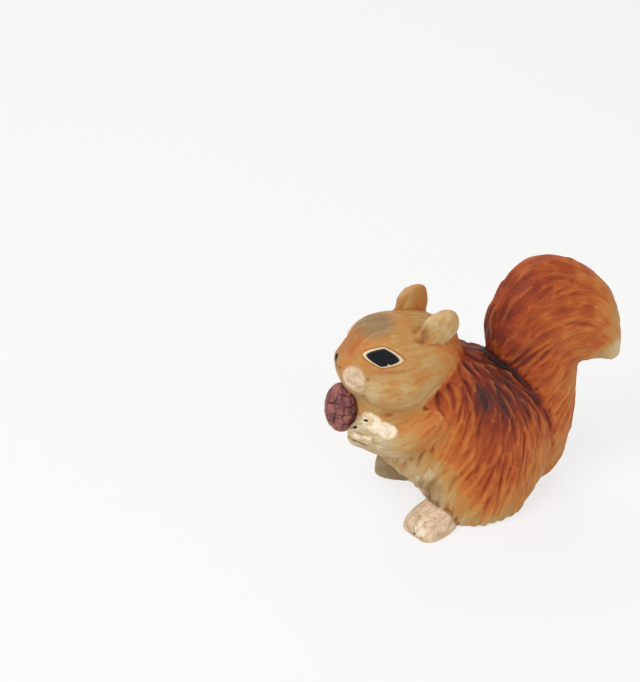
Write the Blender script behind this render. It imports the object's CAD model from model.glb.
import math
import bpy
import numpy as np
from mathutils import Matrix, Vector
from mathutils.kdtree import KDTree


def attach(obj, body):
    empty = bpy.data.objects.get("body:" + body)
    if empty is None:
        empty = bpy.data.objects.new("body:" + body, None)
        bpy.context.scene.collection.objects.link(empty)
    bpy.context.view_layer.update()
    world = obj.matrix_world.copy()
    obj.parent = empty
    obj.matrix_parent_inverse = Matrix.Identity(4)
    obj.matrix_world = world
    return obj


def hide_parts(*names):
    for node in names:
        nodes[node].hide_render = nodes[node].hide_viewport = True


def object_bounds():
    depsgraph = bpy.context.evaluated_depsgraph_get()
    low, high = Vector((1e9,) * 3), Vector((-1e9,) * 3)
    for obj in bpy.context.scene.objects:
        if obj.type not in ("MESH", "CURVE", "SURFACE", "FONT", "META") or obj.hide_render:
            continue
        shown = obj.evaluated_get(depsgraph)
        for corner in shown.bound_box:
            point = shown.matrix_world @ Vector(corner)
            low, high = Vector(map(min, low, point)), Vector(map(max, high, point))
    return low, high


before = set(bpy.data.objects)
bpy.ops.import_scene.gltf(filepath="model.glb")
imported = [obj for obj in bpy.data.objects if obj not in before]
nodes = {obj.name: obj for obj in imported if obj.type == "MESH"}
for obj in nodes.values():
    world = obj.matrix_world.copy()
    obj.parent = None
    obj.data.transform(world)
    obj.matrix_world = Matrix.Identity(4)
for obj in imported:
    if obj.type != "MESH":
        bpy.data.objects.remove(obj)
cad_low, cad_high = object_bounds()

# %% [markdown]
# # A carved and painted squirrel
# The squirrel is glued up from separate blanks of pale wood, carved over the glue joints
# with a small gouge, and painted in thin coats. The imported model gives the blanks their
# true places, so everything here is made around them, in metres.
# The order is a carver's own: rough shape, features, gouge cuts, and then the paint.

mm = 0.001


def nothing_selected():
    """Ends edit mode and deselects every object."""
    if bpy.context.object and bpy.context.object.mode != "OBJECT":
        bpy.ops.object.mode_set(mode="OBJECT")
    bpy.ops.object.select_all(action="DESELECT")


def select_only(thing):
    """Makes one object the selected and active one."""
    nothing_selected()
    thing.select_set(True)
    bpy.context.view_layer.objects.active = thing


print("nodes:", sorted(nodes))

# %% [markdown]
# ## The camera
# The photograph looks down on the squirrel from its left, a little ahead of it. Setting
# the camera first means that every later step can be judged in the same view.
# The place below came from matching points that can be told apart in the picture, such as
# the ears, the toes and the tip of the tail, with the same points on the model.

# %% Camera at the photograph's viewpoint
camera_data = bpy.data.cameras.new("camera")
camera = bpy.data.objects.new("camera", camera_data)
bpy.context.collection.objects.link(camera)
camera.location = Vector((354.51, -145.77, 296.64)) * mm
looks_at = Vector((-16.96, -43.61, 58.00)) * mm
camera.rotation_euler = (looks_at - camera.location).to_track_quat("-Z", "Y").to_euler()
camera_data.lens = 72.45
camera_data.sensor_width = 36.0
camera_data.clip_start = 0.01
bpy.context.scene.camera = camera
print("camera", camera.location[:], "looks at", looks_at[:])

# %% [markdown]
# ## The rough shape
# A carver glues the blanks together first and rounds them over as one block, so that no
# step shows at a joint. Here copies of the blanks are joined, swelled a little so that
# they overlap, and remeshed into one skin. Smoothing then does the work of a rasp.
# The narrow gaps under the cheeks and behind the arms would be left as solid wood by a
# carver. Swelling the front blanks, remeshing them and shrinking them again by as much
# fills such gaps and leaves the rest as it was.
# A last, finer remesh gives enough vertices for the gouge cuts.

# %% Join copies of the blanks and remesh them into one skin
flesh_names = [
    "trunk", "head", "tail", "ear_left", "ear_right",
    "foreleg_left", "foreleg_right", "hind_foot_left", "hind_foot_right",
]


def copy_of(node_name, copy_name):
    """A copy of a node with its own mesh, its doubled vertices merged."""
    copy = nodes[node_name].copy()
    copy.data = nodes[node_name].data.copy()
    copy.name = copy_name
    copy.parent = None
    copy.matrix_world = nodes[node_name].matrix_world
    bpy.context.collection.objects.link(copy)
    select_only(copy)
    bpy.ops.object.mode_set(mode="EDIT")
    bpy.ops.mesh.select_all(action="SELECT")
    bpy.ops.mesh.remove_doubles(threshold=0.01 * mm)
    bpy.ops.mesh.normals_make_consistent(inside=False)
    bpy.ops.object.mode_set(mode="OBJECT")
    copy.data.materials.clear()
    return copy


def modify(thing, kind, **settings):
    """Adds a modifier with these settings and applies it."""
    select_only(thing)
    modifier = thing.modifiers.new(kind.lower(), kind)
    for name, value in settings.items():
        setattr(modifier, name, value)
    bpy.ops.object.modifier_apply(modifier=modifier.name)


blank_grain = 0.6 * mm
glue_overlap = 0.2 * mm
blanks = [copy_of(name, name + "_blank") for name in flesh_names]
for blank in blanks:
    modify(blank, "REMESH", mode="VOXEL", voxel_size=blank_grain)
    modify(blank, "DISPLACE", strength=glue_overlap, mid_level=0.0)


def read_vectors(collection, key):
    """One row of three numbers for each item of a mesh collection."""
    values = np.empty(len(collection) * 3)
    collection.foreach_get(key, values)
    return values.reshape(-1, 3)


def joined(things, name):
    """One object from several, whose meshes may run into each other."""
    nothing_selected()
    for thing in things:
        thing.select_set(True)
    bpy.context.view_layer.objects.active = things[0]
    bpy.ops.object.join()
    bpy.context.object.name = name
    return bpy.context.object


blank_points = [read_vectors(blank.data.vertices, "co") / mm for blank in blanks]
by_name = dict(zip(flesh_names, blanks))
front_names = ["trunk", "head", "foreleg_left", "foreleg_right"]
front = joined([by_name.pop(name) for name in front_names], "front")
fill = 3.4 * mm
filled_grain = 0.7 * mm
skin_grain = 0.38 * mm
modify(front, "DISPLACE", strength=fill, mid_level=0.0)
modify(front, "REMESH", mode="VOXEL", voxel_size=filled_grain)
modify(front, "SMOOTH", factor=0.5, iterations=3)
modify(front, "DISPLACE", strength=-fill, mid_level=0.0)
carving = joined([front, *by_name.values()], "carving")
modify(carving, "REMESH", mode="VOXEL", voxel_size=blank_grain)
modify(carving, "SMOOTH", factor=0.5, iterations=7)
modify(carving, "REMESH", mode="VOXEL", voxel_size=skin_grain)
modify(carving, "SMOOTH", factor=0.5, iterations=3)
print("skin:", len(carving.data.vertices), "vertices")

# %% [markdown]
# ## Working on the skin's points
# Carving by hand can't be written as a few edit-mode operators, so the skin is treated as
# a list of points in millimetres, each with a normal. A cut moves points inwards along
# their normals, and a swelling moves them outwards.
# The head is turned on the neck, so its features are given in a straight head's own
# coordinates, with the same number for left and right.

# %% The skin as lists of points, normals and neighbours
head_turn = math.radians(6.5)
neck_back = -17.0
skin = carving.data
points = read_vectors(skin.vertices, "co") / mm
normals = read_vectors(skin.vertex_normals, "vector")
neighbours = np.empty(len(skin.edges) * 2, int)
skin.edges.foreach_get("vertices", neighbours)
neighbours = neighbours.reshape(-1, 2)
neighbour_count = np.bincount(neighbours.ravel(), minlength=len(points))


def averaged(values, rounds):
    """Each value drawn towards the mean of its neighbours', several times over."""
    one, other = neighbours.T
    for _ in range(rounds):
        total = np.bincount(one, values[other], len(values))
        total += np.bincount(other, values[one], len(values))
        values = (values + total / neighbour_count) / 2
    return values


def averaged_points(rounds):
    """The points after the same smoothing, which rounds over what is smaller than it."""
    return np.column_stack([averaged(points[:, axis], rounds) for axis in range(3)])


def in_straight_head(places):
    """Places as they would be if the head were not turned, both sides folded together."""
    x, y, z = places[:, 0], places[:, 1] - neck_back, places[:, 2]
    side = x * math.cos(head_turn) + y * math.sin(head_turn)
    back = y * math.cos(head_turn) - x * math.sin(head_turn) + neck_back
    return np.column_stack((np.abs(side), back, z))


def move_points(lift):
    """Moves every point along its normal, in millimetres, and renews the normals."""
    global points, normals
    points = points + normals * lift[:, None]
    skin.vertices.foreach_set("co", (points * mm).ravel())
    skin.update()
    normals = read_vectors(skin.vertex_normals, "vector")


print("straight head of the first point:", in_straight_head(points[:1])[0].round(1))

# %% Which blank each point of the skin belongs to
blank_tree = KDTree(sum(len(places) for places in blank_points))
blank_of = []
for number, places in enumerate(blank_points):
    for place in places:
        blank_tree.insert(place, len(blank_of))
        blank_of.append(number)
blank_tree.balance()
blank_of = np.array(blank_of)
owner = blank_of[[blank_tree.find(place)[1] for place in points]]
share = np.array([averaged((owner == k) * 1.0, 8) for k in range(len(flesh_names))])
owner = share.argmax(0)
number_of = {name: k for k, name in enumerate(flesh_names)}


def belongs(*names):
    """Which points belong to these blanks."""
    return np.isin(owner, [number_of[name] for name in names])


for name in flesh_names:
    print(name, int(belongs(name).sum()), "points")

# %% [markdown]
# ## Features
# Before the fur, a carver sets in the features: the rim of the eye, the nose and lip, the
# hollow of the ear, the fingers, the toes, and the deep groove between back and tail.
# A swelling is a soft bump round a place, and a furrow is a rounded groove along a line.

# %% Helpers for swellings and furrows
def swelling(places, centre, radius, height):
    """The lift of a soft bump, or of a dent where the height is negative."""
    gap = np.linalg.norm(places - np.array(centre), axis=1)
    return height * np.exp(-((gap / radius) ** 2))


def gap_to_line(places, line):
    """How far each place is from a line through the given points."""
    nearest = np.full(len(places), 1e9)
    for start, end in zip(np.array(line[:-1], float), np.array(line[1:], float)):
        run = end - start
        along = np.clip((places - start) @ run / (run @ run), 0, 1)
        gap = np.linalg.norm(places - start - along[:, None] * run, axis=1)
        nearest = np.minimum(nearest, gap)
    return nearest


def furrow(places, line, half_width, depth):
    """The lift of a rounded groove along a line."""
    gap = gap_to_line(places, line)
    return -depth * np.exp(-((gap / half_width) ** 2))


def unit(direction):
    """The same direction, one long."""
    return np.array(direction, float) / np.linalg.norm(direction)


# The eye is an almond in its own flat frame: middle, line towards the back corner, line up.
eye_middle = np.array((9.9, -32.3, 66.9))
eye_along = unit((0.586, 0.809, -0.048))
eye_up = unit((-0.346, 0.303, 0.888))
eye_half_length = 5.2
eye_half_height = 2.85


def eye_measure(places):
    """Below one inside the almond of the eye, one on its edge, more outside."""
    offset = places - eye_middle
    along = np.abs(offset @ eye_along) / eye_half_length
    up = np.abs(offset @ eye_up) / eye_half_height
    far = np.abs(offset @ np.cross(eye_along, eye_up)) > 4
    return along**1.1 + up**1.6 + 9 * far


print("eye measure, least on the skin:", eye_measure(in_straight_head(points)).min().round(2))

# %% Head: eyes, nose, lip and the hollows of the ears
face = in_straight_head(points)
on_head = belongs("head", "ear_left", "ear_right")
almond = eye_measure(face)
lift = 0.30 * np.clip((1.25 - almond) / 0.3, 0, 1)
lift -= 0.30 * np.exp(-(((almond - 1.45) / 0.2) ** 2))
lift += swelling(face, (0, -43.6, 63.3), 1.7, 0.5)
lip_line = [(0, -44.0, 62.0), (0, -43.6, 59.6), (2.2, -42.9, 58.9), (4.0, -41.6, 59.4)]
muzzle_line = [(9.3, -37.2, 60.5), (8.6, -38.0, 55.5), (6.8, -37.4, 51.5)]
lift += furrow(face, lip_line, 0.5, 0.4)
lift += swelling(face, (5.2, -40.6, 57.0), 3.2, 0.5)
lift += furrow(face, muzzle_line, 1.0, 0.35)
lift += swelling(face, (9.8, -18.6, 71.8), 2.6, -1.3)
move_points(lift * on_head)
print("head lift from", (lift * on_head).min().round(2), "to", (lift * on_head).max().round(2))

# %% [markdown]
# The blanks are plain shapes, so the rounded skin differs from the photograph by up to a
# millimetre in a few places. Low, wide swellings and dents put those places right, which
# leaves the blanks as simple as a carver would saw them.

# %% Small corrections of the outline, seen against the photograph
lift = swelling(points, (-0.5, -40.0, 68.4), 4.5, -0.9)
lift += swelling(face, (0, -43.0, 58.6), 2.6, -0.6)
lift += swelling(points, (-0.4, -34.5, 73.2), 3.0, 0.6)
lift *= on_head
lift += swelling(points, (10.5, -8.6, 76.5), 4.5, 0.9) * belongs("ear_left")
lift += swelling(points, (10.2, -6.8, 72.0), 3.5, 1.0) * belongs("ear_left")
lift += swelling(points, (-8.6, -9.6, 76.0), 4.5, -0.8) * belongs("ear_right")
lift += swelling(points, (-4.5, 3.5, 57.6), 5.5, -1.1) * belongs("trunk", "head")
lift += swelling(points, (4.4, 40.5, 16.6), 7.0, -1.1) * belongs("tail")
lift += swelling(points, (5.8, 51.5, 50.8), 3.5, 0.9) * belongs("tail")
lift = averaged(lift, 6)
move_points(lift)
print("outline corrections from", lift.min().round(2), "to", lift.max().round(2))

# %% Hands and feet: fingers and toes
both = np.column_stack((np.abs(points[:, 0]), points[:, 1], points[:, 2]))
finger_lines = [
    [(14.0, -29.6, 37.6), (11.2, -33.0, 38.8), (8.6, -34.8, 40.2), (6.5, -36.0, 40.6)],
    [(13.4, -33.2, 35.6), (11.6, -37.0, 37.8), (9.6, -39.2, 38.9), (6.5, -40.2, 39.6)],
    [(12.0, -34.6, 33.4), (11.2, -38.6, 35.0), (9.0, -41.0, 36.2), (6.0, -41.6, 36.6)],
]
lift = sum(furrow(both, line, 0.55, 0.75) for line in finger_lines)
on_hands = belongs("foreleg_left", "foreleg_right")
lift *= on_hands
foot_heel = np.array((11.3, -3.5, 0.0))
foot_turn = math.radians(27)
foot_along = np.array((math.sin(foot_turn), -math.cos(foot_turn), 0))
foot_across = np.array((math.cos(foot_turn), math.sin(foot_turn), 0))


def on_foot(along, across):
    """A place on top of the foot, so far along it and so far to its outer side."""
    stations = (0, 6, 11, 15.5, 19, 20.4)
    tall = np.interp(along, stations, (9.5, 10, 9.2, 7.6, 6.0, 3.4))
    wide = np.interp(along, stations, (5.6, 6.8, 7.5, 7.5, 6.3, 3.8))
    up = tall * math.sqrt(max(0.02, 1 - (across / wide) ** 2))
    return foot_heel + along * foot_along + across * foot_across + (0, 0, up)


toe_lines = [
    [(12.5, -2.6), (16.0, -3.2), (20.6, -3.0)],
    [(13.0, 0.6), (16.8, -0.6), (18.2, 0.0), (20.8, -0.2)],
    [(16.8, -0.6), (17.6, 2.6), (20.6, 3.6)],
    [(17.6, 2.6), (14.2, 3.8), (11.5, 5.4), (9.0, 5.2)],
    [(14.2, 3.8), (15.5, 5.6), (19.0, 5.4)],
    [(9.5, -2.0), (8.6, 1.0), (9.4, 3.6)],
]
toes = sum(furrow(both, [on_foot(*spot) for spot in line], 0.38, 0.5) for line in toe_lines)
lift += toes * belongs("hind_foot_left", "hind_foot_right")
move_points(lift)
print("deepest finger or toe furrow:", lift.min().round(2))

# %% The groove between back and tail, and soft grooves at the other joints
seam = 4 * share[number_of["trunk"]] * share[number_of["tail"]]
foot_share = share[number_of["hind_foot_left"]] + share[number_of["hind_foot_right"]]
wide_seam = np.clip(averaged(seam, 14) * 2.2, 0, 1)
back_groove_depth = 0.35
foot_groove_depth = 0.2
foot_groove = foot_groove_depth * 4 * foot_share * (1 - foot_share)
move_points(-back_groove_depth * wide_seam - foot_groove)


def soften(zone, rounds):
    """Rounds the skin over inside a zone, as sandpaper would."""
    global points
    points = points + (averaged_points(rounds) - points) * zone[:, None]
    move_points(np.zeros(len(points)))


shoulder = share[number_of["foreleg_left"]] + share[number_of["foreleg_right"]]
neck = share[number_of["head"]]
merged = 4 * shoulder * (1 - shoulder) * (both[:, 1] > -31) + 4 * neck * share[number_of["trunk"]]
soften(np.clip(averaged(merged, 45) * 4.5, 0, 1), 220)
soften(wide_seam, 6)
print("groove points:", int((seam > 0.5).sum()))

# %% [markdown]
# ## Lines of the fur
# Fur is carved in the direction in which it lies: back over the head, down over the
# shoulder and the haunch, and up and out over the tail. A few hand-placed arrows, seen
# from the side, say which way the gouge goes there, and every point takes a blend of the
# arrows near it. The same blending paints the coat: numbers from 0, cream, to 1, plum.

# %% Blend values from hand-placed spots
def blended(places, spots, values, reach):
    """A blend of the values of the spots near each place, seen from the side."""
    spots, values = np.array(spots, float), np.array(values, float)
    total, weight = 0, 0
    for spot, value in zip(spots, values):
        near = np.exp(-((places[:, 1:] - spot) ** 2).sum(1) / reach**2) + 1e-6
        total = total + near[:, None] * value
        weight = weight + near
    return total / weight[:, None]


body_arrows = {
    (-20, 48): (0.2, -1), (-8, 54): (0.25, -1), (2, 57): (0.35, -1), (12, 51): (0.6, -0.8),
    (20, 43): (0.5, -0.9), (28, 32): (0.25, -1), (-12, 42): (-0.35, -1), (-2, 42): (-0.3, -1),
    (8, 36): (-0.3, -1), (18, 28): (-0.15, -1), (-20, 32): (-0.5, -0.8), (-26, 26): (-0.2, -1),
    (-14, 22): (-0.5, -0.8), (-4, 24): (-0.5, -0.9), (6, 20): (-0.4, -1), (16, 16): (-0.25, -1),
    (-12, 10): (-0.1, -1), (0, 8): (-0.35, -1), (12, 6): (-0.2, -1), (24, 8): (-0.2, -1),
}
tail_arrows = {
    (36, 8): (0.5, 0.8), (34, 20): (0.6, 0.8), (38, 32): (0.55, 0.85), (32, 40): (0.5, 0.85),
    (39, 46): (0.7, 0.7), (26, 52): (0.55, 0.8), (18, 60): (0.5, 0.85), (12, 68): (0.5, 0.85),
    (16, 80): (0.8, 0.6), (26, 86): (1, 0.15), (38, 84): (0.9, -0.4), (47, 76): (0.6, -0.8),
    (52, 64): (0.25, -1), (52, 52): (0.2, -1), (26, 72): (1, 0.35), (36, 74): (1, -0.1),
    (34, 64): (1, 0.15), (42, 60): (0.95, -0.3), (30, 58): (0.9, 0.45), (44, 70): (0.9, -0.4),
}
head_arrows = {
    (-42, 62): (0.9, 0.3), (-38, 68): (0.8, 0.6), (-30, 73): (1, 0.2), (-20, 73): (1, -0.1),
    (-12, 68): (0.7, -0.7), (-40, 56): (1, -0.1), (-32, 58): (1, 0.0), (-24, 60): (0.95, 0.25),
    (-32, 51): (1, 0.1), (-22, 52): (0.9, 0.4), (-14, 56): (0.5, 0.85), (-16, 62): (0.8, 0.6),
    (-8, 60): (0.3, -0.95), (-24, 66): (0.9, 0.1), (-34, 42): (0.6, -0.5),
}
limb_arrows = {
    (-40, 36): (-1, 0.2), (-32, 34): (-1, 0.15), (-22, 35): (-0.9, -0.35), (-14, 40): (-0.7, -0.7),
}
heading = np.zeros_like(points)
for members, arrows in (
    (belongs("trunk"), body_arrows),
    (belongs("tail"), tail_arrows),
    (belongs("foreleg_left", "foreleg_right"), limb_arrows),
):
    heading[members, 1:] = blended(points[members], list(arrows), list(arrows.values()), 7.0)
members = belongs("head")
heading[members, 1:] = blended(face[members], list(head_arrows), list(head_arrows.values()), 6.0)
heading[belongs("ear_left", "ear_right")] = (0, 0.35, 0.95)
foot_members = belongs("hind_foot_left", "hind_foot_right")
heading[foot_members] = foot_along
heading[foot_members, 0] *= np.sign(points[foot_members, 0])
heading = np.column_stack([averaged(heading[:, axis], 12) for axis in range(3)])
heading -= normals * (heading * normals).sum(1)[:, None]
heading /= np.linalg.norm(heading, axis=1)[:, None] + 1e-9
print("mean heading on the trunk:", heading[belongs("trunk")].mean(0).round(2))

# %% [markdown]
# ## Gouge cuts
# A gouge leaves a scoop that is pointed where it enters and leaves the wood. Hundreds of
# them side by side meet in sharp ridges, and that is what makes carved fur look alive.
# Each cut starts at a scattered place, follows the lines of the fur, and only the deepest
# cut counts where two overlap. The number of each cut is kept for the painter.

# %% Follow the fur from many starting places and cut scoops
dice = np.random.default_rng(7)
skin_tree = KDTree(len(points))
for index, place in enumerate(points):
    skin_tree.insert(place, index)
skin_tree.balance()
depth_cut = np.zeros(len(points))
cut_tone = np.full(len(points), 0.5)
cut_start = np.arange(len(points))
streak = points * (1.0, 0.3, 0.3)
cuts_made = 0
stride = 0.8
# Points further than this above or below a cut's path lie on another surface.
same_surface = 1.5


def gouge(members, spacing, length, width, depth):
    """Covers these points with scoops that follow the fur."""
    global cuts_made
    members = np.flatnonzero(members)
    shuffled = members[dice.permutation(len(members))]
    cells = np.floor(points[shuffled] / spacing).astype(int)
    starts = shuffled[np.unique(cells, axis=0, return_index=True)[1]]
    for start in starts:
        long = length * dice.uniform(0.65, 1.35)
        half = width / 2 * dice.uniform(0.7, 1.25)
        deep = depth * dice.uniform(0.6, 1.15)
        veer = dice.normal(0, 0.13)
        place, at = points[start], start
        trail, aims, ups = [], [], []
        for _ in range(int(long / stride) + 1):
            aim = heading[at] + veer * np.cross(normals[at], heading[at])
            trail.append(place)
            aims.append(aim)
            ups.append(normals[at])
            place = place + aim * stride
            at = skin_tree.find(place)[1]
            place = place - normals[at] * ((place - points[at]) @ normals[at])
        trail, aims, ups = np.array(trail), np.array(aims), np.array(ups)
        low, high = trail.min(0) - half, trail.max(0) + half
        near = members[((points[members] > low) & (points[members] < high)).all(1)]
        gaps = points[near][:, None] - trail[None]
        step = (gaps**2).sum(2).argmin(1)
        gap = gaps[np.arange(len(near)), step]
        along = step * stride + (gap * aims[step]).sum(1)
        across = (gap * np.cross(ups[step], aims[step])).sum(1)
        beyond = np.abs((gap * ups[step]).sum(1)) > same_surface
        t = np.clip(along / long, 0, 1)
        shape = np.sin(math.pi * t**0.75) ** 0.7 + 1e-6
        scoop = deep * shape**0.5 * (1 - (across / (half * shape)) ** 2)
        scoop[beyond] = 0
        wins = scoop > depth_cut[near]
        won = near[wins]
        depth_cut[won] = scoop[wins]
        cut_tone[won] = dice.random()
        cut_start[won] = start
        own_place = np.full(len(near), start * 0.37)
        streak[won] = np.column_stack((across, along * 0.12, own_place))[wins]
        cuts_made += 1


gouge(belongs("trunk"), spacing=4.4, length=13.0, width=3.2, depth=0.85)
gouge(belongs("tail"), spacing=4.8, length=14.0, width=3.4, depth=0.65)
clear_of_eye = almond >= 1.7
behind_muzzle = face[:, 1] > -38.5
furry_head = belongs("head") & clear_of_eye & behind_muzzle
gouge(furry_head, spacing=2.8, length=7.0, width=1.9, depth=0.28)
gouge(belongs("ear_left", "ear_right"), spacing=2.4, length=6.0, width=1.5, depth=0.16)
gouge(on_hands, spacing=2.6, length=6.0, width=1.6, depth=0.20)
gouge(foot_members, spacing=2.6, length=6.0, width=1.5, depth=0.16)


def sunken(rounds):
    """How deep each point lies below a smoothed copy of the skin."""
    return ((averaged_points(rounds) - points) * normals).sum(1)


# Cuts fade out in the creases, where a gouge has no room.
fade_from = 0.3
fade_over = 0.5
depth_cut *= 1 - np.clip((sunken(60) - fade_from) / fade_over, 0, 1)
ridge_rise = 0.12
move_points(ridge_rise - averaged(depth_cut, 3))
print(cuts_made, "cuts, deepest", depth_cut.max().round(2), "mm")

# %% [markdown]
# ## What the painter needs to know
# Thin washes run into the hollows and a nearly dry brush catches the ridges. Comparing
# the skin with a smoothed copy of itself tells one from the other. The coat's colour
# runs on one scale from cream to plum, spotted by hand from the side, and each gouge cut
# takes on some of the colour at the place where the brush was set down.

# %% Hollows, ridges and the colour scale of the coat
hollow = sunken(16)
crease = sunken(60)
body_coat = {
    (-22, 48): 0.30, (-12, 52): 0.72, (-6, 57): 0.70, (0, 58): 0.80, (6, 56): 0.88,
    (11, 52): 0.92, (17, 46): 0.88, (23, 40): 0.80, (28, 30): 0.62, (32, 20): 0.52,
    (-11, 43): 0.54, (-4, 48): 0.72, (2, 48): 0.92, (8, 42): 0.88, (14, 38): 0.76,
    (4, 36): 0.74, (-3, 38): 0.58, (-9, 34): 0.50, (12, 30): 0.58, (20, 30): 0.56,
    (-16, 36): 0.38, (-22, 31): 0.30, (-27, 27): 0.24, (-18, 20): 0.17, (-14, 11): 0.11,
    (-9, 19): 0.26, (-2, 24): 0.58, (5, 22): 0.66, (11, 22): 0.62, (16, 22): 0.54,
    (24, 20): 0.48, (-2, 17): 0.58, (11, 26): 0.72, (-5, 11): 0.32, (3, 12): 0.52,
    (10, 12): 0.47, (17, 11): 0.43, (24, 6): 0.34, (-6, 4): 0.20, (0, 3): 0.26,
    (8, 3): 0.30, (16, 3): 0.30,
}
tail_coat = {
    (11, 60): 0.82, (16, 57): 0.74, (22, 52): 0.68, (27, 46): 0.62, (31, 36): 0.58,
    (11, 68): 0.82, (14, 78): 0.76, (21, 84): 0.70, (30, 87): 0.66, (40, 83): 0.56,
    (48, 75): 0.44, (53, 64): 0.26, (54, 52): 0.03, (50, 49): 0.14, (19, 66): 0.64,
    (22, 74): 0.62, (32, 76): 0.64, (42, 74): 0.56, (28, 66): 0.60, (38, 64): 0.60,
    (46, 62): 0.52, (26, 58): 0.56, (34, 54): 0.56, (36, 46): 0.50, (38, 36): 0.50,
    (36, 26): 0.52, (39, 16): 0.42, (34, 8): 0.44, (41, 54): 0.48, (42, 40): 0.38,
}
head_coat = {
    (-43, 63): 0.38, (-39, 68): 0.44, (-32, 73): 0.34, (-22, 73): 0.34, (-36, 64): 0.32,
    (-30, 71): 0.32, (-41, 57): 0.22, (-38, 51): 0.24, (-27, 57): 0.28, (-31, 50): 0.27,
    (-22, 63): 0.32, (-14, 66): 0.33, (-9, 66): 0.42, (-15, 53): 0.24, (-16, 59): 0.39,
    (-9, 58): 0.46, (-5, 63): 0.60, (-22, 52): 0.20, (-30, 61): 0.33, (-34, 43): 0.36,
    (-26, 46): 0.34,
}
ear_coat = {
    (-18, 69): 0.40, (-17, 74): 0.20, (-12, 70): 0.17, (-14, 76): 0.18, (-9, 78): 0.32,
    (-7, 73): 0.24,
}
far_ear_coat = {
    (-18, 69): 0.40, (-16, 74): 0.34, (-13, 72): 0.35, (-14, 79): 0.34, (-9, 78): 0.46,
    (-8, 72): 0.44,
}
hand_coat = {
    (-42, 37): 0.05, (-36, 38): 0.06, (-34, 33): 0.09, (-29, 37): 0.10, (-28, 31): 0.14,
    (-24, 35): 0.28, (-22, 40): 0.44, (-16, 41): 0.48, (-18, 35): 0.42,
}
foot_coat = {(-24, 3): 0.08, (-18, 6): 0.08, (-12, 8): 0.12, (-18, 1): 0.14}
coat = np.zeros(len(points))
for names, places, spots in (
    (("trunk",), points, body_coat),
    (("tail",), points, tail_coat),
    (("head",), face, head_coat),
    (("ear_left",), face, ear_coat),
    (("ear_right",), face, far_ear_coat),
    (("foreleg_left", "foreleg_right"), points, hand_coat),
    (("hind_foot_left", "hind_foot_right"), points, foot_coat),
):
    chosen = belongs(*names)
    values = [(value,) for value in spots.values()]
    coat[chosen] = blended(places[chosen], list(spots), values, 4.5)[:, 0]
coat = averaged(coat, 10)
from_brush = 0.25
coat = (1 - from_brush) * coat + from_brush * coat[cut_start]
coat += 0.05 * np.clip(seam * 2, 0, 1)
ear_front = gap_to_line(face, [(9.2, -18.8, 75.2), (9.9, -18.6, 73.4), (10.8, -18.2, 70.8)])
coat += 0.16 * np.exp(-((ear_front / 1.2) ** 2)) * on_head
print("coat from", coat.min().round(2), "to", coat.max().round(2))

# %% Pale, grey and rust patches that lie outside that scale
def patch(places, centre, radii):
    """One inside a soft patch, nothing outside it."""
    gap = (((places - np.array(centre)) / np.array(radii)) ** 2).sum(1)
    return np.clip(1.5 - gap, 0, 1)


pale = patch(face, (6.1, -40.6, 58.3), (3.4, 3.6, 4.6)) * on_head
grey = 0.9 * patch(face, (0, -32, 73.5), (7.0, 7, 3.2)) * on_head
nose_bridge = gap_to_line(face, [(0, -35, 73), (0, -42, 66)])
grey = np.maximum(grey, 0.55 * np.exp(-((nose_bridge / 2.4) ** 2)) * on_head)
grey = np.maximum(grey, 0.8 * np.exp(-((ear_front / 1.3) ** 2)) * on_head)
grey = np.maximum(grey, 0.35 * on_hands * np.clip((-26 - points[:, 1]) / 4, 0, 1))
for line in finger_lines:
    grey = np.maximum(grey, 0.9 * np.exp(-((gap_to_line(both, line) / 0.6) ** 2)) * on_hands)
grey = np.maximum(grey, 0.9 * patch(points, (-16, -18, 4), (9, 9, 8)))
grey = np.maximum(grey, 0.5 * patch(both, (15, -14, 12), (6, 5, 8)))
pale = np.maximum(pale, 0.6 * belongs("hind_foot_left") * (points[:, 2] > 1))
snout_gap = gap_to_line(face, [(3.5, -40.5, 67.0), (3.2, -37.5, 70.0)])
under_eye_gap = gap_to_line(face, [(11.0, -33.5, 62.6), (13.4, -27.0, 62.6)])
rust = 0.8 * np.exp(-((snout_gap / 1.5) ** 2)) + 0.7 * np.exp(-((under_eye_gap / 0.9) ** 2))
rust *= on_head
grey = averaged(grey, 4)
rust = averaged(rust, 2)
pale = averaged(pale, 4)
print("most pale, grey and rust:", [round(float(part.max()), 2) for part in (pale, grey, rust)])

# %% Painted marks with crisp edges: eyes, nose, lip, claws
# Each mark is a gap in millimetres to its edge: negative inside it, positive outside.
elsewhere = 9.0
notch = np.linalg.norm(face - (11.5, -31.0, 65.0), axis=1)
eye_gap = (eye_measure(face) - 1) * 1.6
marks = [
    eye_gap,
    gap_to_line(face, [(0, -43.5, 64.4), (0, -43.9, 62.6)]) - 0.9,
    gap_to_line(face, [(0.3, -43.8, 59.8), (2.9, -43.2, 61.9)]) - 0.35,
]
ink = np.where(on_head, np.min(marks, 0), elsewhere)
claws = [
    ([(8.6, -35.6, 42.0), (9.0, -35.0, 41.9)], 0.42),
    ([(8.6, -39.2, 39.6), (9.0, -38.8, 40.0)], 0.55),
    ([(9.8, -39.8, 35.6), (10.1, -39.4, 35.2)], 0.45),
]
for line, half in claws:
    ink = np.minimum(ink, np.where(on_hands, gap_to_line(both, line) - half, elsewhere))
for spot in ((20.6, -3.6), (20.9, 0.6), (20.0, 4.4)):
    claw = np.linalg.norm(both - on_foot(*spot) + (0, 0, 1.6), axis=1) - 0.6
    ink = np.minimum(ink, np.where(foot_members, claw, elsewhere))
white = np.where(on_head, np.maximum(notch - 0.5, eye_gap), elsewhere)
toe_white = gap_to_line(both, [(21.4, -20.4, 4.8), (22.8, -20.2, 3.2)]) - 1.6
white = np.minimum(white, np.where(foot_members, toe_white, elsewhere))
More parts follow.
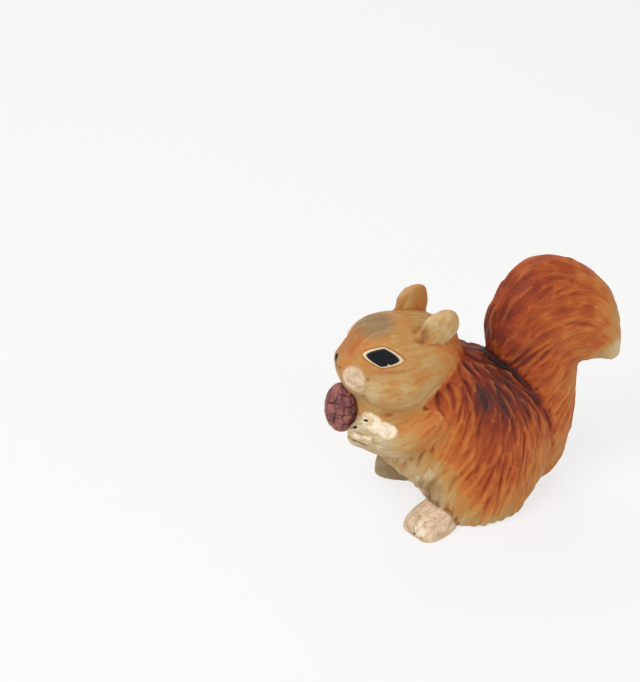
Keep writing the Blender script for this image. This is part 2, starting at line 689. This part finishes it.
brush_marks = [
    ([(8.8, -34.0, 42.0), (11.0, -31.6, 40.4), (13.4, -28.8, 39.2)], 2.5),
    ([(8.3, -35.2, 40.9), (10.8, -33.2, 39.4)], 0.75),
    ([(10.6, -39.3, 37.7), (12.4, -35.4, 37.0)], 0.7),
]
for line, half in brush_marks:
    white = np.minimum(white, gap_to_line(both, line) - half)
ink = np.where(on_head, np.maximum(ink, 0.6 - notch), ink)
eye = np.where(on_head, eye_measure(face), elsewhere)
print("inked points:", int((ink < 0).sum()), "white points:", int((white < 0).sum()))

# %% Store the numbers on the points
full_hollow = 0.2
full_crease = 0.8
for name, values in (
    ("ink", np.clip(ink, -2, 2)), ("white", np.clip(white, -2, 2)), ("eye", np.clip(eye, 0, 3)),
    ("hollow", np.clip(hollow / full_hollow, -1, 1)),
    ("crease", np.clip(crease / full_crease, -1, 1)),
    ("coat", coat), ("tone", cut_tone), ("pale", pale), ("grey", grey), ("rust", rust),
):
    skin.attributes.new(name, "FLOAT", "POINT").data.foreach_set("value", values)
skin.attributes.new("streak", "FLOAT_VECTOR", "POINT").data.foreach_set("vector", streak.ravel())
print("stored on the points:", [item.name for item in skin.attributes if item.domain == "POINT"])

# %% [markdown]
# ## The pieces
# The skin is cut apart again along the glue joints, so each blank is its own piece and
# meets its neighbour edge to edge with the same cuts running over both. Each opening is
# turned a little inwards and closed with faces that are hidden inside, like the real glue
# faces. Each piece keeps the normals that the whole skin had, so that no joint shows as a
# shading edge.

# %% Cut the skin into its pieces and close the glue faces
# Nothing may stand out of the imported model's box.
low, high = np.array(cad_low), np.array(cad_high)
inside = np.clip(points * mm, low, high)
skin.vertices.foreach_set("co", inside.ravel())
skin.update()
normals = read_vectors(skin.vertex_normals, "vector")
# The lean of a point is the normal that the whole skin has there.
skin.attributes.new("lean", "FLOAT_VECTOR", "POINT").data.foreach_set("vector", normals.ravel())
loop_vertices = np.empty(len(skin.loops), int)
skin.loops.foreach_get("vertex_index", loop_vertices)
face_starts = np.empty(len(skin.polygons), int)
skin.polygons.foreach_get("loop_start", face_starts)
face_owner = owner[loop_vertices[face_starts]]
skin.attributes.new("owner", "INT", "FACE").data.foreach_set("value", face_owner)
pieces = {}
for name in flesh_names[1:]:
    select_only(carving)
    bpy.ops.object.mode_set(mode="EDIT")
    bpy.ops.mesh.select_mode(type="FACE")
    bpy.ops.mesh.select_all(action="DESELECT")
    bpy.ops.object.mode_set(mode="OBJECT")
    owners = np.empty(len(skin.polygons), int)
    skin.attributes["owner"].data.foreach_get("value", owners)
    skin.polygons.foreach_set("select", owners == number_of[name])
    bpy.ops.object.mode_set(mode="EDIT")
    bpy.ops.mesh.separate(type="SELECTED")
    bpy.ops.object.mode_set(mode="OBJECT")
    piece = [thing for thing in bpy.context.selected_objects if thing != carving][0]
    pieces[name] = piece
pieces["trunk"] = carving
glue_lip = 1.2 * mm
facing_away = 0.2
for name, piece in pieces.items():
    piece.name = "carved_" + name
    select_only(piece)
    bpy.ops.object.mode_set(mode="EDIT")
    bpy.ops.mesh.select_mode(type="EDGE")
    bpy.ops.mesh.select_all(action="DESELECT")
    bpy.ops.mesh.select_non_manifold(
        extend=False, use_wire=False, use_multi_face=False, use_non_contiguous=False, use_verts=False
    )
    bpy.ops.mesh.extrude_region_move()
    bpy.ops.object.mode_set(mode="OBJECT")
    mesh = piece.data
    chosen = np.empty(len(mesh.vertices), bool)
    mesh.vertices.foreach_get("select", chosen)
    places = read_vectors(mesh.vertices, "co")
    inwards = read_vectors(mesh.attributes["lean"].data, "vector")
    places[chosen] -= inwards[chosen] * glue_lip
    mesh.vertices.foreach_set("co", places.ravel())
    bpy.ops.object.mode_set(mode="EDIT")
    bpy.ops.mesh.fill_holes(sides=0)
    bpy.ops.mesh.quads_convert_to_tris()
    bpy.ops.mesh.select_all(action="SELECT")
    bpy.ops.mesh.normals_make_consistent(inside=False)
    bpy.ops.object.mode_set(mode="OBJECT")
    bpy.ops.object.shade_smooth()
    lean = read_vectors(mesh.attributes["lean"].data, "vector")
    corners = np.empty(len(mesh.loops), int)
    mesh.loops.foreach_get("vertex_index", corners)
    outside = read_vectors(mesh.polygons, "normal")
    sizes = np.empty(len(mesh.polygons), int)
    mesh.polygons.foreach_get("loop_total", sizes)
    own = np.repeat(outside, sizes, 0)
    lean = lean[corners]
    lean[(lean * own).sum(1) < facing_away] = 0
    mesh.normals_split_custom_set(lean)
    print(name, len(piece.data.vertices), "vertices")

# %% [markdown]
# ## The walnut
# The walnut is a blank of its own, carved with upright and level grooves that waver and
# cross like a net, and it is held between the nose and the hands. It is carved in the
# same way as the skin: a fine remesh first, and then points moved along their normals.

# %% Carve the walnut
nut_grain = 0.3 * mm
nut_groove_spacing = 3.4
nut_groove_depth = 0.75
walnut = copy_of("nut", "carved_nut")
modify(walnut, "REMESH", mode="VOXEL", voxel_size=nut_grain)
modify(walnut, "SMOOTH", factor=0.5, iterations=8)
nut_points = read_vectors(walnut.data.vertices, "co") / mm
nut_normals = read_vectors(walnut.data.vertex_normals, "vector")
nut_middle = nut_points.mean(0)
turn = np.arctan2(nut_points[:, 0] - nut_middle[0], nut_points[:, 1] - nut_middle[1])
height = nut_points[:, 2] - nut_middle[2]
wander = 0.5 * np.sin(3 * turn + height) + 0.35 * np.sin(5 * turn - 1.7 * height)
groove = np.zeros(len(nut_points))
upright_waves = np.sin((11 * turn + 1.3 * wander) / 2)
level = height + 0.5 * np.sin(2 * turn) + 0.35 * wander
level_waves = np.sin(math.pi * level / nut_groove_spacing)
uneven = 0.7 + 0.3 * np.sin(4 * turn + height)
for wave in (upright_waves, level_waves):
    groove = np.maximum(groove, np.exp(-((wave / 0.3) ** 2)) * uneven)
groove *= np.clip((1 - np.abs(height) / 9.4) * 3, 0, 1)
nut_points = nut_points - nut_normals * (nut_groove_depth * groove)[:, None]
walnut.data.vertices.foreach_set("co", (nut_points * mm).ravel())
walnut.data.update()
walnut.data.attributes.new("groove", "FLOAT", "POINT").data.foreach_set("value", groove)
walnut.data.attributes.new("rise", "FLOAT", "POINT").data.foreach_set("value", height / 9)
select_only(walnut)
bpy.ops.object.shade_smooth()
pieces["nut"] = walnut
print("walnut:", len(nut_points), "vertices")

# %% [markdown]
# ## Paint
# The coat is thin acrylic over pale wood. One colour ramp runs from cream over tan and
# orange to plum, and the numbers stored on the points pick a place on it. Hollows get
# darker, as a wash does when it runs into them, and ridges get paler.

# %% Helpers that make a material's nodes
def colour(red, green, blue):
    """A colour as a paint chart gives it, 0 to 255, made linear for a shader."""
    parts = [channel / 255 for channel in (red, green, blue)]
    return (*[c / 12.92 if c < 0.04 else ((c + 0.055) / 1.055) ** 2.4 for c in parts], 1.0)


def add(tree, kind, values, **settings):
    """A node whose sockets are set to numbers or linked to other nodes' outputs."""
    node = tree.nodes.new("ShaderNode" + kind)
    for name, value in settings.items():
        setattr(node, name, value)
    for key, value in values.items():
        if isinstance(value, bpy.types.NodeSocket):
            tree.links.new(value, node.inputs[key])
        else:
            node.inputs[key].default_value = value
    return node


def maths(tree, operation, one, other=0.0, clamp=False):
    """The result of one sum."""
    return add(tree, "Math", {0: one, 1: other}, operation=operation, use_clamp=clamp).outputs[0]


def mixed(tree, factor, one, other, way="MIX"):
    """A mixture of two colours."""
    values = {0: factor, 6: one, 7: other}
    return add(tree, "Mix", values, data_type="RGBA", blend_type=way).outputs[2]


def reading(tree, name):
    """A number stored on the points."""
    return add(tree, "Attribute", {}, attribute_name=name).outputs["Fac"]


def between(tree, value, low_end, high_end, start=0.0, end=1.0):
    """A value moved smoothly from one range to another."""
    values = {0: value, 1: low_end, 2: high_end, 3: start, 4: end}
    return add(tree, "MapRange", values, interpolation_type="SMOOTHSTEP").outputs[0]


def speckle(tree, where, scale, detail=3.0):
    """Noise of about one half on average."""
    return add(tree, "TexNoise", {"Vector": where, "Scale": scale, "Detail": detail}).outputs["Fac"]


coat_chart = [
    (0.00, (238, 222, 192)), (0.10, (202, 180, 140)), (0.22, (190, 156, 104)),
    (0.34, (184, 134, 74)), (0.46, (192, 120, 58)), (0.58, (178, 88, 36)),
    (0.70, (154, 66, 30)), (0.82, (120, 44, 26)), (0.92, (88, 40, 34)), (1.00, (58, 30, 28)),
]


def coat_material(name, roughness):
    """The painted coat, which reads everything from the numbers on the points."""
    orange_ridges = name in ("painted_trunk", "painted_tail")
    material = bpy.data.materials.new(name)
    material.use_nodes = True
    tree = material.node_tree
    shader = tree.nodes["Principled BSDF"]
    shader.inputs["Specular IOR Level"].default_value = 0.18
    place = add(tree, "TexCoord", {}).outputs["Object"]
    streaks = add(tree, "Attribute", {}, attribute_name="streak").outputs["Vector"]
    bristles = speckle(tree, streaks, 1.6, 3.0)
    cloud = speckle(tree, place, 180.0)
    scale = reading(tree, "coat")
    scale = maths(tree, "ADD", scale, between(tree, reading(tree, "tone"), 0, 1, -0.045, 0.045))
    scale = maths(tree, "ADD", scale, between(tree, bristles, 0.3, 0.7, -0.045, 0.045))
    scale = maths(tree, "ADD", scale, between(tree, cloud, 0.3, 0.7, -0.05, 0.05))
    hollow = reading(tree, "hollow")
    deep = between(tree, hollow, 0.1, 1.0)
    ridge = between(tree, hollow, -0.1, -1.0)
    scale = maths(tree, "ADD", scale, maths(tree, "MULTIPLY", deep, 0.10), True)
    ramp = add(tree, "ValToRGB", {0: scale})
    stops = ramp.color_ramp.elements
    for position, shade in coat_chart[1:-1]:
        stops.new(position)
    for stop, (position, shade) in zip(stops, coat_chart):
        stop.position = position
        stop.color = colour(*shade)
    paint = ramp.outputs["Color"]
    paint = mixed(tree, maths(tree, "MULTIPLY", reading(tree, "grey"), 0.85), paint, colour(132, 108, 78))
    paint = mixed(tree, maths(tree, "MULTIPLY", reading(tree, "rust"), 0.8), paint, colour(172, 84, 44))
    mottle = speckle(tree, place, 420.0)
    pinkish = mixed(tree, between(tree, mottle, 0.35, 0.68), colour(230, 202, 174), colour(200, 170, 138))
    patchy = maths(tree, "SUBTRACT", reading(tree, "pale"), maths(tree, "MULTIPLY", mottle, 0.35))
    paint = mixed(tree, between(tree, patchy, -0.15, 0.55), paint, pinkish)
    ridge_paint = colour(220, 142, 70) if orange_ridges else colour(226, 196, 146)
    paint = mixed(tree, maths(tree, "MULTIPLY", ridge, 0.28), paint, ridge_paint)
    paint = mixed(tree, maths(tree, "MULTIPLY", deep, 0.42), paint, colour(120, 66, 40), "MULTIPLY")
    creased = between(tree, reading(tree, "crease"), 0.1, 1.0)
    paint = mixed(tree, maths(tree, "MULTIPLY", creased, 0.25), paint, colour(130, 74, 46), "MULTIPLY")
    rim = between(tree, reading(tree, "eye"), 1.27, 1.21)
    paint = mixed(tree, maths(tree, "MULTIPLY", rim, 0.9), paint, colour(232, 212, 182))
    blotch = between(tree, mottle, 0.3, 0.7, -0.3, 0.3)
    brushed = maths(tree, "ADD", reading(tree, "white"), blotch)
    white = between(tree, brushed, 0.6, -0.6, 0.0, 0.95)
    cream = mixed(tree, between(tree, mottle, 0.48, 0.66), colour(242, 228, 202), colour(218, 194, 154))
    paint = mixed(tree, white, paint, cream)
    crack = maths(tree, "ABSOLUTE", maths(tree, "SUBTRACT", speckle(tree, place, 260.0), 0.5))
    light_paint = maths(tree, "MAXIMUM", white, reading(tree, "pale"))
    crack = maths(tree, "MULTIPLY", between(tree, crack, 0.028, 0.0), light_paint)
    paint = mixed(tree, maths(tree, "MULTIPLY", crack, 0.6), paint, colour(170, 136, 96))
    ink = between(tree, reading(tree, "ink"), 0.12, -0.12)
    paint = mixed(tree, ink, paint, colour(12, 13, 18))
    tree.links.new(paint, shader.inputs["Base Color"])
    gloss = between(tree, bristles, 0.3, 0.7, roughness - 0.07, roughness + 0.07)
    gloss = maths(tree, "SUBTRACT", gloss, maths(tree, "MULTIPLY", ink, 0.25))
    tree.links.new(gloss, shader.inputs["Roughness"])
    bump = add(tree, "Bump", {"Height": bristles, "Strength": 0.35, "Distance": 0.15 * mm})
    tree.links.new(bump.outputs["Normal"], shader.inputs["Normal"])
    return material


satin = 0.55
coats = ("trunk", "head", "tail", "ear", "foreleg", "foot")
finishes = {name: coat_material("painted_" + name, satin) for name in coats}
print("coats:", sorted(finishes))

# %% [markdown]
# The walnut is painted in blotches of plum-brown and dull pink, darker in its grooves and
# tan towards its lower end. The dowels are bare turned beech: a pale tone whose fine grain
# runs one way.

# %% Paint of the walnut, and bare wood for the dowels
walnut_paint = bpy.data.materials.new("painted_walnut")
walnut_paint.use_nodes = True
tree = walnut_paint.node_tree
shader = tree.nodes["Principled BSDF"]
place = add(tree, "TexCoord", {}).outputs["Object"]
cloud = speckle(tree, place, 300.0, 4.0)
net = reading(tree, "groove")
paint = mixed(tree, between(tree, cloud, 0.38, 0.62), colour(104, 50, 48), colour(158, 92, 86))
low_part = between(tree, reading(tree, "rise"), -0.35, -0.95, 0.0, 0.75)
paint = mixed(tree, low_part, paint, colour(196, 128, 98))
paint = mixed(tree, between(tree, net, 0.1, 0.7, 0.0, 0.85), paint, colour(66, 26, 28))
tree.links.new(paint, shader.inputs["Base Color"])
tree.links.new(between(tree, cloud, 0.3, 0.7, 0.45, 0.62), shader.inputs["Roughness"])
bump = add(tree, "Bump", {"Height": cloud, "Strength": 0.4, "Distance": 0.15 * mm})
tree.links.new(bump.outputs["Normal"], shader.inputs["Normal"])

beech = bpy.data.materials.new("turned_beech")
beech.use_nodes = True
tree = beech.node_tree
shader = tree.nodes["Principled BSDF"]
place = add(tree, "TexCoord", {}).outputs["Object"]
stretched = add(tree, "Mapping", {"Vector": place, "Scale": (900.0, 90.0, 900.0)}).outputs["Vector"]
grain = speckle(tree, stretched, 1.0, 5.0)
paint = mixed(tree, between(tree, grain, 0.3, 0.7), colour(214, 184, 140), colour(188, 150, 104))
tree.links.new(paint, shader.inputs["Base Color"])
tree.links.new(between(tree, grain, 0.3, 0.7, 0.55, 0.7), shader.inputs["Roughness"])
bump = add(tree, "Bump", {"Height": grain, "Strength": 0.3, "Distance": 0.05 * mm})
tree.links.new(bump.outputs["Normal"], shader.inputs["Normal"])
print("materials:", walnut_paint.name, beech.name)

# %% [markdown]
# ## Handing the pieces to the frame
# Each carved piece rides on the one body, stands for its blank, and takes its finish from
# the record's slot. The dowels stay as the model has them, and only get their wood.

# %% Ride, replace and finish
slots = {
    "trunk": "trunk", "head": "head", "tail": "tail", "ear_left": "ear", "ear_right": "ear",
    "foreleg_left": "foreleg", "foreleg_right": "foreleg",
    "hind_foot_left": "foot", "hind_foot_right": "foot", "nut": "nut",
}
finishes["nut"] = walnut_paint
for name, piece in pieces.items():
    piece.data.materials.clear()
    piece.data.materials.append(finishes[slots[name]])
    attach(piece, "root")
    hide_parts(name)
for name, node in nodes.items():
    if name not in slots:
        for slot in node.material_slots:
            slot.material = beech
print("pieces handed over:", len(pieces))

# %% [markdown]
# ## Floor, light and background
# A plain pale floor and soft lights from above and one side show the cuts all round.
# The floor is white for the camera and keeps the shadow of the figure.

# %% Floor
nothing_selected()
bpy.ops.mesh.primitive_plane_add(size=4.0, location=(0, 0, 0))
floor = bpy.context.object
floor.name = "floor"
floor_paint = bpy.data.materials.new("pale_floor")
floor_paint.use_nodes = True
tree = floor_paint.node_tree
shader = tree.nodes["Principled BSDF"]
shader.inputs["Base Color"].default_value = colour(236, 235, 233)
shader.inputs["Roughness"].default_value = 0.9


def seen_directly(tree):
    """One for what the camera sees, itself or in a gloss, and nothing for light."""
    path = add(tree, "LightPath", {})
    seen = maths(tree, "MAXIMUM", path.outputs["Is Camera Ray"], path.outputs["Is Glossy Ray"])
    return maths(tree, "MAXIMUM", seen, path.outputs["Is Transmission Ray"])


glow = add(tree, "Emission", {"Color": (1, 1, 1, 1), "Strength": 1.0})
whitened = maths(tree, "MULTIPLY", seen_directly(tree), 0.72)
blend = add(tree, "MixShader", {0: whitened, 1: shader.outputs[0], 2: glow.outputs[0]})
tree.links.new(blend.outputs[0], tree.nodes["Material Output"].inputs["Surface"])
floor.data.materials.append(floor_paint)
print("floor:", [round(side, 2) for side in floor.dimensions])

# %% Lamps and the world
def soft_lamp(name, place, power, size):
    """A square lamp that points at the middle of the squirrel."""
    data = bpy.data.lights.new(name, "AREA")
    data.energy = power
    data.size = size
    lamp = bpy.data.objects.new(name, data)
    bpy.context.collection.objects.link(lamp)
    lamp.location = place
    aim = Vector((0, 0, 0.045)) - Vector(place)
    lamp.rotation_euler = aim.to_track_quat("-Z", "Y").to_euler()
    return lamp


soft_lamp("main_light", (0.30, -0.55, 0.75), 5.2, 0.5)
soft_lamp("side_light", (0.6, 0.3, 0.25), 1.3, 0.6)
soft_lamp("far_light", (-0.6, 0.0, 0.6), 1.2, 0.6)
world = bpy.data.worlds.new("studio")
bpy.context.scene.world = world
world.use_nodes = True
tree = world.node_tree
background = tree.nodes["Background"]
background.inputs["Color"].default_value = (1, 1, 1, 1)
tree.links.new(between(tree, seen_directly(tree), 0, 1, 0.42, 1.0), background.inputs["Strength"])
bpy.context.scene.view_settings.view_transform = "Standard"

# %% [markdown]
# ## The two boxes
# Carving only takes wood away, so the finished figure has to stay inside the box of its
# blanks. Both boxes are written down here, to be compared after each render.

# %% Both boxes, for comparison
print("CAD box (mm):", [round((b - a) / mm, 2) for a, b in zip(cad_low, cad_high)])
